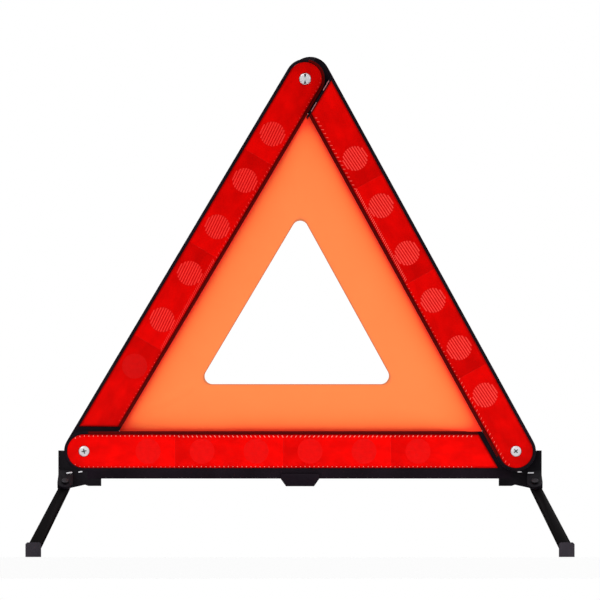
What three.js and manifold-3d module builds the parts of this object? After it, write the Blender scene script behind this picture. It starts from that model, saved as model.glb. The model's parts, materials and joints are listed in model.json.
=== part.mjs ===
// A folding warning triangle: three reflector arms pinned at the two lower corners and snapped together
// at the top, a stretched fabric screen with a triangular window, and four legs that swing out of two
// corner brackets.
//
// Millimetres. +Z is up, the front faces -Y, the ground is z = 0 and x = 0 is half way between the pivots.
//
// The three arms lie in layers, so that both side arms can fold flat along the base arm: the right arm is
// in front of the base arm and the left arm is behind it. The two side arms lean a little towards each
// other, and meet at the top corner.

import * as THREE from "three";
import { mergeVertices } from "three/addons/utils/BufferGeometryUtils.js";
import Module from "manifold-3d";

const wasm = await Module();
wasm.setup();

// ---------------------------------------------------------------- driving dimensions
const PIVOT_SPACING = 400; // between the pivots at the two lower corners
const PIVOT_HEIGHT = 98; // of both pivots above the ground
const LEFT_LENGTH = 401; // left arm, pivot to stud
const LEFT_TILT = 30.7; // left arm, degrees from the vertical
const RIGHT_LENGTH = 395.6; // right arm, pivot to the centre of its round tongue
const RIGHT_TILT = 28.8; // right arm, degrees from the vertical

const ARM_HALF_WIDTH = 18.5;
const ARM_THICKNESS = 7;
const LAYER_GAP = 0.8; // between the faces of two arms that pass each other
const LIP_DEPTH = 25.4; // from the base arm's axis down to the edge of its lower lip
const LIP_END_GAP = 3; // the lip starts this far inside each pivot

const LENS_HALF_WIDTH = 15.7;
const LENS_THICKNESS = 2;
const LENS_INSET = 0.3; // the lens face below the rim of its frame
const LENS_CUT_AT = 374.5; // where the lens's oblique tail end crosses the arm's axis
const FLOOR_THICKNESS = 1.2; // of the tray floor under the lens
const GAP = 0.3; // between pieces that touch

const RIB_PITCH = 50; // of the cross ribs in the back of each arm
const RIB_THICKNESS = 1.6;
const WALL = 1.8; // side walls of the arms' backs

const CLOTH_THICKNESS = 0.6;
const CLOTH_LEVEL = -1.6; // the middle of the cloth, from an arm's middle plane
const CLOTH_WIDTH = { left: 41, base: 43.6, right: 50 }; // of each visible band, arm to window
const CLOTH_TUCK = 4.2; // how far the cloth runs into an arm's groove
const WINDOW_RADIUS = 7.5;
const STRIP_WIDTH = 6; // of the strips that clamp the cloth
const STRIP_THICKNESS = 1.2;
const STRIP_START = 46; // along an arm, from its head
const STRIP_END = 346;

const HOLE_RADIUS = 2.6; // through the arms, for the pivot screws
const SHANK_RADIUS = 2.2;
const SCREW_HEAD_RADIUS = 4.9;
const STUD_HEAD_RADIUS = 5.4;
const NUT_RADIUS = 4.4;

const LAP_END = 40; // the left arm's thin head, from the stud
const TONGUE_THICKNESS = 2;
const TONGUE_CLEARANCE = 0.9; // behind the left arm's thin head
const TONGUE_WALL = 1.8;
const TONGUE_FLANGE = 5; // how far the tongue reaches under the right arm's back
const TONGUE_TOE = 3; // how far its wall reaches in front of the cloth

const LEG_PIVOT = new THREE.Vector3(-217.5, -12, 65); // of the left front leg
const LEG_FOOT = new THREE.Vector3(-247, -80, 7); // the middle of its foot pad
const LEG_WIDTH_TOP = 9;
const LEG_WIDTH_FOOT = 11.4;
const LEG_THICKNESS = 5;
const PAD_SIZE = new THREE.Vector3(14.6, 15, 13.6);
const LUG_RADIUS = 7.2;
const LUG_THICKNESS = 3.2;
const LUG_REACH = 17; // from the leg's pin back into the bracket
const STOP_RADIUS = 1.2; // of the peg that stops the open leg
const LEG_PIN_RADIUS = 1.8;
const PIN_HEAD_RADIUS = 3.4;
const PIN_HEAD_THICKNESS = 1.9;

const BRACKET_TOP = 98.7; // height above the ground
const BRACKET_BOTTOM = 65.8;
const BRACKET_OUTER = 23.8; // from the pivot to the outer side
const BRACKET_INNER = 16; // from the pivot to the end of the foot under the arm

const CLIP_HALF_WIDTH = 18;
const CLIP_BOTTOM = 65.5;
const CLIP_TOP = 77;
const CLIP_WALL = 1.6;

// ---------------------------------------------------------------- materials
const material = (color, roughness, metalness = 0) =>
  new THREE.MeshStandardMaterial({ color, roughness, metalness });
const BLACK_PLASTIC = () => material(0x18141a, 0.5);
const RED_LENS = () => material(0xd20503, 0.2);
const ORANGE_CLOTH = () => material(0xff8a50, 0.9);
const CHROME = () => material(0xd8d6de, 0.2, 1);
const GREY_RUBBER = () => material(0x3c3a40, 0.85);

// ---------------------------------------------------------------- solids
function toSolid(geometry) {
  const bare = geometry.clone();
  bare.deleteAttribute("normal");
  bare.deleteAttribute("uv");
  const merged = mergeVertices(bare, 1e-4);
  return new wasm.Manifold(
    new wasm.Mesh({
      numProp: 3,
      vertProperties: new Float32Array(merged.attributes.position.array),
      triVerts: new Uint32Array(merged.index.array),
    }),
  );
}

function toGeometry(solid) {
  const mesh = solid.getMesh();
  const geometry = new THREE.BufferGeometry();
  geometry.setAttribute("position", new THREE.BufferAttribute(mesh.vertProperties, 3));
  geometry.setIndex(new THREE.BufferAttribute(mesh.triVerts, 1));
  geometry.computeVertexNormals();
  return geometry;
}

// A flat shape made solid from z = low to z = high.
function slab(shape, low, high, curveSegments = 10) {
  const geometry = new THREE.ExtrudeGeometry(shape, {
    depth: high - low,
    bevelEnabled: false,
    curveSegments,
  });
  return toSolid(geometry.translate(0, 0, low));
}

function polygon(points) {
  return new THREE.Shape(points.map(([x, y]) => new THREE.Vector2(x, y)));
}

function box(x0, x1, y0, y1, z0, z1) {
  const geometry = new THREE.BoxGeometry(x1 - x0, y1 - y0, z1 - z0);
  return toSolid(geometry.translate((x0 + x1) / 2, (y0 + y1) / 2, (z0 + z1) / 2));
}

// A round bar along z.
function rod(x, y, radius, low, high, sides = 24) {
  const geometry = new THREE.CylinderGeometry(radius, radius, high - low, sides);
  geometry.rotateX(Math.PI / 2);
  return toSolid(geometry.translate(x, y, (low + high) / 2));
}

// A solid of revolution about z, from [radius, z] points that start and end on the axis.
function turned(points, sides = 28) {
  const profile = points.map(([r, z]) => new THREE.Vector2(r, z));
  const geometry = new THREE.LatheGeometry(profile, sides);
  return toSolid(geometry.rotateX(Math.PI / 2));
}

// A bar with two round ends, its axis from x = 0 to x = length.
function roundBar(length, radius) {
  const shape = new THREE.Shape();
  shape.moveTo(0, -radius);
  shape.lineTo(length, -radius);
  shape.absarc(length, 0, radius, -Math.PI / 2, Math.PI / 2, false);
  shape.lineTo(0, radius);
  shape.absarc(0, 0, radius, Math.PI / 2, 1.5 * Math.PI, false);
  return shape;
}

const unite = (solids) => solids.reduce((sum, solid) => sum.add(solid));
const cut = (body, tools) => tools.reduce((rest, tool) => rest.subtract(tool), body);

function named(name, solid, finish) {
  const mesh = new THREE.Mesh(toGeometry(solid), finish());
  mesh.name = name;
  return mesh;
}

// ---------------------------------------------------------------- places
const radians = THREE.MathUtils.degToRad;
const halfThickness = ARM_THICKNESS / 2;
const layerStep = ARM_THICKNESS + LAYER_GAP;
const topHeight = LEFT_LENGTH * Math.cos(radians(LEFT_TILT));
const lean = Math.asin(layerStep / 2 / topHeight);
const lowerLeft = -PIVOT_SPACING / 2;
const lowerRight = PIVOT_SPACING / 2;
const leftAngle = radians(90 - LEFT_TILT); // of the left arm above +X, seen from the front
const rightAngle = radians(90 + RIGHT_TILT);

// The plane of one arm: x along X, y up, z towards the front. The side arms' planes tip about their pivots.
function armPlane(x, layer, tip) {
  const group = new THREE.Group();
  group.position.set(x, -layer * layerStep, PIVOT_HEIGHT);
  group.rotation.x = Math.PI / 2 + tip;
  return group;
}

const basePlane = armPlane(lowerLeft, 0, 0);
const leftPlane = armPlane(lowerLeft, -1, lean);
const rightPlane = armPlane(lowerRight, 1, -lean);

// Inside its plane each arm runs from its head, at x = 0, to its tail, with the triangle's inside at +y.
const baseArm = new THREE.Group();
const leftArm = new THREE.Group();
leftArm.position.set(LEFT_LENGTH * Math.cos(leftAngle), LEFT_LENGTH * Math.sin(leftAngle), 0);
leftArm.rotation.z = leftAngle + Math.PI;
const rightArm = new THREE.Group();
rightArm.rotation.z = rightAngle;
basePlane.add(baseArm);
leftPlane.add(leftArm);
rightPlane.add(rightArm);

// ---------------------------------------------------------------- the arms
const faceLevel = halfThickness - LENS_INSET;
const seatLevel = faceLevel - LENS_THICKNESS - GAP; // of the tray floor, under the lens
const backLevel = seatLevel - FLOOR_THICKNESS; // of the tray floor, seen from behind
const ledgeInner = ARM_HALF_WIDTH - STRIP_WIDTH;
const clothTop = CLOTH_LEVEL + CLOTH_THICKNESS / 2 + GAP;
const clothBottom = CLOTH_LEVEL - CLOTH_THICKNESS / 2 - GAP;

// The lens outline: round at the head, and cut along the neighbouring arm's edge at the tail.
function lensShape(clearance) {
  const half = LENS_HALF_WIDTH + clearance;
  const slope = Math.tan(radians(30));
  const end = LENS_CUT_AT + clearance / Math.cos(radians(30));
  const shape = new THREE.Shape();
  shape.moveTo(0, -half);
  shape.lineTo(end + half * slope, -half);
  shape.lineTo(end - half * slope, half);
  shape.lineTo(0, half);
  shape.absarc(0, 0, half, Math.PI / 2, 1.5 * Math.PI, false);
  return shape;
}

// The hollows in the back of an arm, between the cross ribs.
function backPockets(length, from) {
  const pockets = [];
  for (let start = from; start < length - RIB_PITCH / 2; start += RIB_PITCH) {
    const end = Math.min(start + RIB_PITCH - RIB_THICKNESS, length - LENS_HALF_WIDTH);
    pockets.push(
      box(start, end, WALL - ARM_HALF_WIDTH, ledgeInner - WALL, -ARM_THICKNESS, backLevel),
    );
  }
  return pockets;
}

// The groove that holds the cloth and its clamping strip, along the inner edge of an arm's back.
function clothGroove() {
  const beyond = ARM_HALF_WIDTH + 5;
  return box(STRIP_START, STRIP_END, ledgeInner, beyond, -ARM_THICKNESS, clothTop);
}

function armFrame(length, pocketsFrom, extras = []) {
  const bar = slab(roundBar(length, ARM_HALF_WIDTH), -halfThickness, halfThickness);
  return cut(unite([bar, ...extras]), [
    slab(lensShape(GAP), seatLevel, ARM_THICKNESS),
    ...backPockets(length, pocketsFrom),
    clothGroove(),
    rod(0, 0, HOLE_RADIUS, -ARM_THICKNESS, ARM_THICKNESS),
    rod(length, 0, HOLE_RADIUS, -ARM_THICKNESS, ARM_THICKNESS),
  ]);
}

function lens(holeRadius) {
  return cut(slab(lensShape(0), seatLevel + GAP, faceLevel), [
    rod(0, 0, holeRadius + GAP, -ARM_THICKNESS, ARM_THICKNESS),
  ]);
}

function clampStrip() {
  return box(
    STRIP_START + GAP,
    STRIP_END - GAP,
    ledgeInner + GAP,
    ARM_HALF_WIDTH,
    clothBottom - STRIP_THICKNESS,
    clothBottom,
  );
}

const nutRecess = (length) => rod(length, 0, NUT_RADIUS + 1, -ARM_THICKNESS, backLevel);
const firstPocket = STRIP_START - RIB_PITCH / 2 + RIB_THICKNESS;

const lip = box(
  LIP_END_GAP,
  PIVOT_SPACING - LIP_END_GAP,
  -LIP_DEPTH,
  0,
  -halfThickness,
  halfThickness,
);
const baseFrame = cut(armFrame(PIVOT_SPACING, firstPocket, [lip]), [nutRecess(PIVOT_SPACING)]);

// The left arm's head is thin, to leave room for the right arm's tongue behind it.
const headLap = box(
  -2 * ARM_HALF_WIDTH,
  LAP_END,
  -2 * ARM_HALF_WIDTH,
  2 * ARM_HALF_WIDTH,
  -ARM_THICKNESS,
  backLevel,
);
const leftFrame = cut(armFrame(LEFT_LENGTH, LAP_END + WALL), [headLap, nutRecess(LEFT_LENGTH)]);

// The right arm's body ends along the left arm's inner edge, where its tongue takes over.
const wallStart = ARM_HALF_WIDTH + 2 * GAP; // from the left arm's axis
const wallEnd = wallStart + TONGUE_WALL;
const reach = 200; // past every side of an arm's end

// Carries a matrix from the left arm's frame into the right arm's.
function toRightArm(matrix) {
  rightPlane.updateMatrixWorld(true);
  leftPlane.updateMatrixWorld(true);
  return matrix
    .clone()
    .premultiply(leftArm.matrixWorld)
    .premultiply(rightArm.matrixWorld.clone().invert());
}

// What lies closer to the left arm's axis than a distance, in the right arm's frame.
function besideLeftArm(distance) {
  const half = box(-reach, reach, -reach, distance, -reach, reach);
  return half.transform(toRightArm(new THREE.Matrix4()).toArray());
}

const rightFrame = cut(armFrame(RIGHT_LENGTH, firstPocket), [besideLeftArm(wallEnd + GAP)]);

// The tongue, in the left arm's frame: a thin round plate behind the left arm's head, a wall beside that
// arm, a flange under the right arm's back, and a toe that covers the top of the cloth.
function tongue() {
  const top = backLevel - TONGUE_CLEARANCE;
  const bottom = top - TONGUE_THICKNESS;
  const wallTop = layerStep + halfThickness - 1;
  const rightBack = layerStep - halfThickness;
  const inLeft = toRightArm(new THREE.Matrix4()).invert();
  const from = new THREE.Vector3(RIGHT_LENGTH - 2.2 * ARM_HALF_WIDTH, 0, 0).applyMatrix4(inLeft);
  const to = new THREE.Vector3(RIGHT_LENGTH, 0, 0).applyMatrix4(inLeft);
  const place = new THREE.Matrix4()
    .makeRotationZ(Math.atan2(to.y - from.y, to.x - from.x))
    .setPosition(from.x, from.y, 0)
    .toArray();
  const length = Math.hypot(to.x - from.x, to.y - from.y);

  // The end of the right arm's outline, with its inner side at this distance from the arm's axis.
  const armEnd = (innerSide, low, high) => {
    const outline = new THREE.Shape();
    outline.moveTo(0, -ARM_HALF_WIDTH);
    outline.lineTo(length, -ARM_HALF_WIDTH);
    outline.absarc(length, 0, ARM_HALF_WIDTH, -Math.PI / 2, Math.PI / 2, false);
    outline.lineTo(length - 5, innerSide);
    outline.lineTo(0, innerSide);
    return slab(outline, low, high).transform(place);
  };
  const strip = (near, far) => box(-reach, reach, near, far, -reach, reach);
  const side = ARM_HALF_WIDTH - 0.1;
  const plate = armEnd(side, bottom, top).intersect(strip(-reach, wallEnd));
  const wall = armEnd(side, bottom, wallTop).intersect(strip(wallStart, wallEnd));
  const flange = armEnd(side, rightBack - 2.1, rightBack - 0.5).intersect(
    strip(wallStart, wallEnd + TONGUE_FLANGE),
  );
  const toe = armEnd(side + TONGUE_TOE, halfThickness + GAP, wallTop).intersect(
    strip(wallStart, wallEnd),
  );
  return cut(unite([plate, wall, flange, toe]), [
    rod(0, 0, HOLE_RADIUS + 0.6, -reach, reach),
  ]).transform(toRightArm(new THREE.Matrix4()).toArray());
}

baseArm.add(
  named("base_arm_frame", baseFrame, BLACK_PLASTIC),
  named("base_arm_lens", lens(SCREW_HEAD_RADIUS), RED_LENS),
  named("base_cloth_strip", clampStrip(), BLACK_PLASTIC),
);
leftArm.add(
  named("left_arm_frame", leftFrame, BLACK_PLASTIC),
  named("left_arm_lens", lens(STUD_HEAD_RADIUS), RED_LENS),
  named("left_cloth_strip", clampStrip(), BLACK_PLASTIC),
);
rightArm.add(
  named("right_arm_frame", rightFrame, BLACK_PLASTIC),
  named("right_arm_lens", lens(SCREW_HEAD_RADIUS), RED_LENS),
  named("right_cloth_strip", clampStrip(), BLACK_PLASTIC),
  named("right_arm_tongue", tongue(), BLACK_PLASTIC),
);

// ---------------------------------------------------------------- screws, nuts and the snap stud
// A headed pin along z: its head sits on the tray floor and its shank runs back through the layers.
function headedPin(headRadius, shankEnd) {
  const seat = seatLevel + GAP;
  return turned([
    [0, shankEnd],
    [SHANK_RADIUS, shankEnd],
    [SHANK_RADIUS, seat],
    [headRadius, seat],
    [headRadius, seat + 1.2],
    [headRadius - 1, faceLevel + 0.2],
    [0, faceLevel + 0.2],
  ]);
}

function nut() {
  const shape = new THREE.Shape();
  for (let corner = 0; corner < 6; corner += 1) {
    const angle = (corner * Math.PI) / 3;
    const [x, y] = [NUT_RADIUS * Math.cos(angle), NUT_RADIUS * Math.sin(angle)];
    if (corner === 0) shape.moveTo(x, y);
    else shape.lineTo(x, y);
  }
  const low = GAP / 2 - halfThickness;
  return cut(slab(shape, low, backLevel - GAP), [
    rod(0, 0, SHANK_RADIUS + GAP, -ARM_THICKNESS, ARM_THICKNESS),
  ]);
}

const shankEnd = GAP - layerStep - halfThickness;
const leftHinge = new THREE.Group(); // the front of the left pin is in the base arm, one layer forward
leftHinge.position.z = layerStep;
leftHinge.add(named("left_pivot_screw", headedPin(SCREW_HEAD_RADIUS, shankEnd), CHROME));
leftPlane.add(leftHinge, named("left_pivot_nut", nut(), CHROME));

const rightNutSeat = new THREE.Group();
rightNutSeat.position.z = -layerStep;
rightNutSeat.add(named("right_pivot_nut", nut(), CHROME));
rightPlane.add(
  named("right_pivot_screw", headedPin(SCREW_HEAD_RADIUS, shankEnd), CHROME),
  rightNutSeat,
);
leftArm.add(named("top_snap_stud", headedPin(STUD_HEAD_RADIUS, GAP - halfThickness), CHROME));

// ---------------------------------------------------------------- the cloth
// Lines of the front view, as a point and a unit direction, and their crossings.
const lineAt = (origin, angle, offset) => ({
  point: new THREE.Vector2(
    origin.x - Math.sin(angle) * offset,
    origin.y + Math.cos(angle) * offset,
  ),
  direction: new THREE.Vector2(Math.cos(angle), Math.sin(angle)),
});

function crossing(a, b) {
  const between = b.point.clone().sub(a.point);
  const reach = between.cross(b.direction) / a.direction.cross(b.direction);
  return a.point.clone().addScaledVector(a.direction, reach);
}

const leftPivot = new THREE.Vector2(lowerLeft, PIVOT_HEIGHT);
const rightPivot = new THREE.Vector2(lowerRight, PIVOT_HEIGHT);
const clothEdge = ARM_HALF_WIDTH + GAP;

// The three arms' lines at a distance inside their axes, in order round the triangle.
function triangleLines(distance) {
  return {
    base: lineAt(leftPivot, 0, distance.base),
    right: lineAt(rightPivot, rightAngle, distance.right),
    left: lineAt(leftPivot, leftAngle + Math.PI, distance.left),
  };
}

const outerLines = triangleLines({ base: clothEdge, right: clothEdge, left: clothEdge });
const windowLines = triangleLines({
  base: ARM_HALF_WIDTH + CLOTH_WIDTH.base,
  right: ARM_HALF_WIDTH + CLOTH_WIDTH.right,
  left: ARM_HALF_WIDTH + CLOTH_WIDTH.left,
});

// How far in front of y = 0 an arm's cloth level is, at a height.
const clothDepth = {
  base: () => CLOTH_LEVEL,
  left: (height) => CLOTH_LEVEL - layerStep + Math.tan(lean) * (height - PIVOT_HEIGHT),
  right: (height) => CLOTH_LEVEL + layerStep - Math.tan(lean) * (height - PIVOT_HEIGHT),
};
// The level at which the bands meet each other.
const WINDOW_SLOPE = 0.036;
const sharedDepth = (x) => CLOTH_LEVEL + WINDOW_SLOPE * x;

// A point on the window's edge, from the middle of one round corner to the middle of the next.
function windowEdge(start, end, share) {
  const along = end.clone().sub(start);
  const straight = along.length() - 2 * WINDOW_RADIUS * Math.sqrt(3);
  const direction = along.clone().normalize();
  const inward = new THREE.Vector2(-direction.y, direction.x);
  const arc = (WINDOW_RADIUS * Math.PI) / 3;
  const distance = share * (straight + 2 * arc);
  const place = (forward, sideways) =>
    start.clone().addScaledVector(direction, forward).addScaledVector(inward, sideways);
  const round = (turn, forward, sign) =>
    place(
      forward + sign * WINDOW_RADIUS * Math.sin(turn),
      WINDOW_RADIUS * (1 - Math.cos(turn)),
    );
  const first = WINDOW_RADIUS * Math.sqrt(3);
  if (distance < arc) return round((arc - distance) / WINDOW_RADIUS, first, -1);
  if (distance < arc + straight) return place(first + distance - arc, 0);
  return round((distance - arc - straight) / WINDOW_RADIUS, first + straight, 1);
}

const MITRE_GAP = 0.2; // each band stops this far short of the corner's mitre
const MITRE_BLEND = 0.2; // share of a band's length over which it reaches the shared level
const BAND_ROWS = 7; // the first one runs from inside the groove to just outside the arm
const FIRST_ROW = 0.025; // its far edge, as a share of the band's width

// One band of cloth: a thin box of many segments, bent to run from its arm's edge to the window.
function clothBand(name, before, after) {
  const corner = (lines, other) => crossing(lines[name], lines[other]);
  const outer = [corner(outerLines, before), corner(outerLines, after)];
  const inner = [corner(windowLines, before), corner(windowLines, after)];
  const geometry = new THREE.BoxGeometry(1, 1, 1, 24, BAND_ROWS, 1);
  const position = geometry.attributes.position;
  const length = outer[0].distanceTo(outer[1]);
  for (let i = 0; i < position.count; i += 1) {
    const share = THREE.MathUtils.lerp(
      MITRE_GAP / length,
      1 - MITRE_GAP / length,
      position.getX(i) + 0.5,
    );
    const fromEnd = Math.min(share, 1 - share);
    const row = Math.round((position.getY(i) + 0.5) * BAND_ROWS);
    const tuck = fromEnd > 1.1 * MITRE_BLEND ? CLOTH_TUCK / CLOTH_WIDTH[name] : 0;
    const across =
      row === 0 ? -tuck : THREE.MathUtils.lerp(FIRST_ROW, 1, (row - 1) / (BAND_ROWS - 1));
    const edge = outer[0].clone().lerp(outer[1], share);
    const place = edge.lerp(windowEdge(inner[0], inner[1], share), across);
    const ends = Math.min(1, fromEnd / MITRE_BLEND);
    const own = Math.min(1, 1 - across) * ends;
    const depth = THREE.MathUtils.lerp(sharedDepth(place.x), clothDepth[name](place.y), own);
    position.setXYZ(i, place.x, -depth - position.getZ(i) * CLOTH_THICKNESS, place.y);
  }
  geometry.deleteAttribute("normal");
  geometry.deleteAttribute("uv");
  const mesh = new THREE.Mesh(mergeVertices(geometry, 1e-4), ORANGE_CLOTH());
  mesh.geometry.computeVertexNormals();
  mesh.name = `${name}_cloth`;
  return mesh;
}

// ---------------------------------------------------------------- brackets and legs
// A leg's frame, for the left front leg: x towards the middle of the object, y down the open leg's side of
// its swing, and z along the pin, up and forwards.
const legLine = LEG_FOOT.clone().sub(LEG_PIVOT);
const legLength = legLine.length();
const swingOut = new THREE.Vector3(0, legLine.y, legLine.z).normalize();
const pinAxis = swingOut.clone().cross(new THREE.Vector3(1, 0, 0));
const legAngle = Math.acos(legLine.x / legLength); // of the open leg, from its folded line along +X
const legPlace = new THREE.Matrix4()
  .makeBasis(new THREE.Vector3(1, 0, 0), swingOut, pinAxis.clone().negate())
  .setPosition(LEG_PIVOT);

// In the leg's frame the pin runs along z, and the lug is on its negative side: up and forwards.
const legSide = LEG_THICKNESS / 2;
const lugNear = -(legSide + GAP);
const lugFar = lugNear - LUG_THICKNESS;

function leg(clearance = 0) {
  const top = LEG_WIDTH_TOP / 2 + clearance;
  const foot = LEG_WIDTH_FOOT / 2 + clearance;
  const shape = new THREE.Shape();
  shape.absarc(0, 0, top, Math.PI / 2, 1.5 * Math.PI, false);
  shape.lineTo(legLength + clearance, -foot);
  shape.lineTo(legLength + clearance, foot);
  shape.closePath();
  const bar = slab(shape, -legSide - clearance, legSide + clearance);
  const holed = clearance ? bar : cut(bar, [rod(0, 0, LEG_PIN_RADIUS + GAP, -20, 20, 16)]);
  return holed.rotate([0, 0, THREE.MathUtils.radToDeg(legAngle)]);
}

function legPin() {
  const near = legSide + GAP;
  const far = lugFar - GAP;
  const rim = PIN_HEAD_RADIUS - 0.5;
  return turned(
    [
      [0, far - PIN_HEAD_THICKNESS],
      [rim, far - PIN_HEAD_THICKNESS],
      [PIN_HEAD_RADIUS, far - PIN_HEAD_THICKNESS + 0.5],
      [PIN_HEAD_RADIUS, far],
      [LEG_PIN_RADIUS, far],
      [LEG_PIN_RADIUS, near],
      [PIN_HEAD_RADIUS, near],
      [PIN_HEAD_RADIUS, near + PIN_HEAD_THICKNESS - 0.5],
      [rim, near + PIN_HEAD_THICKNESS],
      [0, near + PIN_HEAD_THICKNESS],
    ],
    20,
  );
}

// The arm of the bracket that carries one leg, with the stop that the open leg rests on.
function lug() {
  const shape = new THREE.Shape();
  shape.absarc(0, 0, LUG_RADIUS, 0, Math.PI, false);
  shape.lineTo(-LUG_RADIUS + 1.5, -LUG_REACH);
  shape.lineTo(LUG_RADIUS, -LUG_REACH);
  shape.closePath();
  const stopAside = LEG_WIDTH_TOP / 2 + GAP + STOP_RADIUS;
  const along = new THREE.Vector2(Math.cos(legAngle), Math.sin(legAngle));
  const stopX = along.x * 0.8 - along.y * stopAside;
  const stopY = along.y * 0.8 + along.x * stopAside;
  return cut(
    unite([
      slab(shape, lugFar, lugNear, 8),
      rod(stopX, stopY, STOP_RADIUS, lugFar + 0.5, legSide, 12),
    ]),
    [rod(0, 0, LEG_PIN_RADIUS + GAP, -30, 30, 16)],
  );
}

// The bracket's body, in the base arm's layer: an upright beside the arm's round end, and a foot below it.
function bracketBody() {
  const left = lowerLeft - BRACKET_OUTER;
  const right = lowerLeft + BRACKET_INNER;
  const underLip = PIVOT_HEIGHT - LIP_DEPTH - GAP;
  const bottom = BRACKET_BOTTOM;
  const lipStart = lowerLeft + LIP_END_GAP - GAP;
  const depth = halfThickness - 0.2;
  const outline = polygon([
    [left, BRACKET_TOP],
    [left, bottom - 2],
    [lowerLeft - 13, bottom - 2],
    [lowerLeft + 1, bottom + 1.1],
    [lowerLeft + 4, bottom],
    [right, bottom],
    [right, underLip],
    [lipStart, underLip],
    [lipStart, BRACKET_TOP],
  ]);
  // ExtrudeGeometry runs along z, so the outline is turned up into the XZ plane.
  const body = slab(outline, -depth, depth).rotate([90, 0, 0]);
  const roundEnd = toSolid(
    new THREE.CylinderGeometry(ARM_HALF_WIDTH + GAP, ARM_HALF_WIDTH + GAP, 60, 48).translate(
      lowerLeft,
      0,
      PIVOT_HEIGHT,
    ),
  );
  const aboveFoot = box(
    lowerLeft - ARM_HALF_WIDTH,
    0,
    -30,
    30,
    PIVOT_HEIGHT - 2,
    PIVOT_HEIGHT + 20,
  );
  return cut(body, [roundEnd, aboveFoot]);
}

function bracket() {
  const frontLug = lug().transform(legPlace.toArray());
  const rearLug = frontLug.mirror([0, 1, 0]);
  return unite([bracketBody(), frontLug, rearLug]);
}

// A rubber shoe over the end of a leg, flat on the ground.
function footPad() {
  const [x, y, z] = PAD_SIZE.toArray();
  const shape = new THREE.Shape();
  const chamfer = 1.6;
  shape.moveTo(-x / 2, 0);
  shape.lineTo(x / 2, 0);
  shape.lineTo(x / 2, z - chamfer);
  shape.lineTo(x / 2 - chamfer, z);
  shape.lineTo(chamfer - x / 2, z);
  shape.lineTo(-x / 2, z - chamfer);
  shape.closePath();
  const block = slab(shape, -y / 2, y / 2).rotate([90, 0, 0]);
  const socket = leg(GAP).transform(legPlace.toArray());
  const placed = block.translate([LEG_FOOT.x, LEG_FOOT.y, 0]);
  return placed.subtract(socket);
}

const root = new THREE.Group();
root.name = "warning_triangle";
root.add(basePlane, leftPlane, rightPlane);
root.add(
  clothBand("base", "left", "right"),
  clothBand("right", "base", "left"),
  clothBand("left", "right", "base"),
);

// The leg stops inside its pad, above the ground.
const padFloor = 2.5;
const ground = box(-600, 600, -600, 600, -200, padFloor + GAP);
for (const [side, sideSign] of [["left", 1], ["right", -1]]) {
  const corner = new THREE.Group();
  corner.scale.x = sideSign;
  corner.add(named(`${side}_bracket`, bracket(), BLACK_PLASTIC));
  for (const [end, endSign] of [["front", 1], ["rear", -1]]) {
    const quarter = new THREE.Group();
    quarter.scale.y = endSign;
    const placedLeg = leg().transform(legPlace.toArray()).subtract(ground);
    quarter.add(
      named(`${side}_${end}_leg`, placedLeg, BLACK_PLASTIC),
      named(`${side}_${end}_leg_pin`, legPin().transform(legPlace.toArray()), CHROME),
      named(`${side}_${end}_foot_pad`, footPad(), GREY_RUBBER),
    );
    corner.add(quarter);
  }
  root.add(corner);
}

// ---------------------------------------------------------------- the clip under the middle of the base arm
function middleClip() {
  const inner = halfThickness + GAP;
  const outer = inner + CLIP_WALL;
  const chamfer = 5;
  const outline = polygon([
    [-CLIP_HALF_WIDTH + chamfer, CLIP_BOTTOM],
    [CLIP_HALF_WIDTH - chamfer, CLIP_BOTTOM],
    [CLIP_HALF_WIDTH, PIVOT_HEIGHT - LIP_DEPTH],
    [CLIP_HALF_WIDTH - 1, CLIP_TOP],
    [-CLIP_HALF_WIDTH + 1, CLIP_TOP],
    [-CLIP_HALF_WIDTH, PIVOT_HEIGHT - LIP_DEPTH],
  ]);
  const body = slab(outline, -outer, outer).rotate([90, 0, 0]);
  const lipRoom = box(-60, 60, -inner, inner, PIVOT_HEIGHT - LIP_DEPTH - GAP, 200);
  return body.subtract(lipRoom);
}
root.add(named("middle_clip", middleClip(), BLACK_PLASTIC));

export default root;
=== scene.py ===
"""The looks of the folding warning triangle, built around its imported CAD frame.

Metres, +Z up, the front faces -Y, and x is 0 half way between the lower pivots.
"""

import json
import math

import bmesh
import bpy
import numpy as np
from mathutils import Matrix, Vector, noise
from mathutils.geometry import tessellate_polygon


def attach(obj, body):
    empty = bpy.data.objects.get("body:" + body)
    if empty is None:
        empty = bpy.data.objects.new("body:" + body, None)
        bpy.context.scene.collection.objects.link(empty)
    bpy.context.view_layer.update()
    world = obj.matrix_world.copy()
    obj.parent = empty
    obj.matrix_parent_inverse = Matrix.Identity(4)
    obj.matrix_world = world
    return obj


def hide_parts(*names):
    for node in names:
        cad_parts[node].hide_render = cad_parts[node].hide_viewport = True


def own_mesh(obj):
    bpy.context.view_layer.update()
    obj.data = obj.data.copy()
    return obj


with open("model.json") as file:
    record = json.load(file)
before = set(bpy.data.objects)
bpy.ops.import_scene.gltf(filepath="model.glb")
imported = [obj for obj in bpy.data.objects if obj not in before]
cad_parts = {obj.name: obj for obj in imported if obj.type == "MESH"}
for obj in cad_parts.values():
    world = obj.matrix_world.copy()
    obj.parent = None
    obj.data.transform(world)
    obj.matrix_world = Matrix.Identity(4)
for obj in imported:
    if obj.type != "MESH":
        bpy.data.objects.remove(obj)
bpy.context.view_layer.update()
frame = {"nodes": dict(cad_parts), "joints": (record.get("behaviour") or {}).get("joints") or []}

MM = 0.001
ARMS = ("base", "left", "right")

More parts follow.
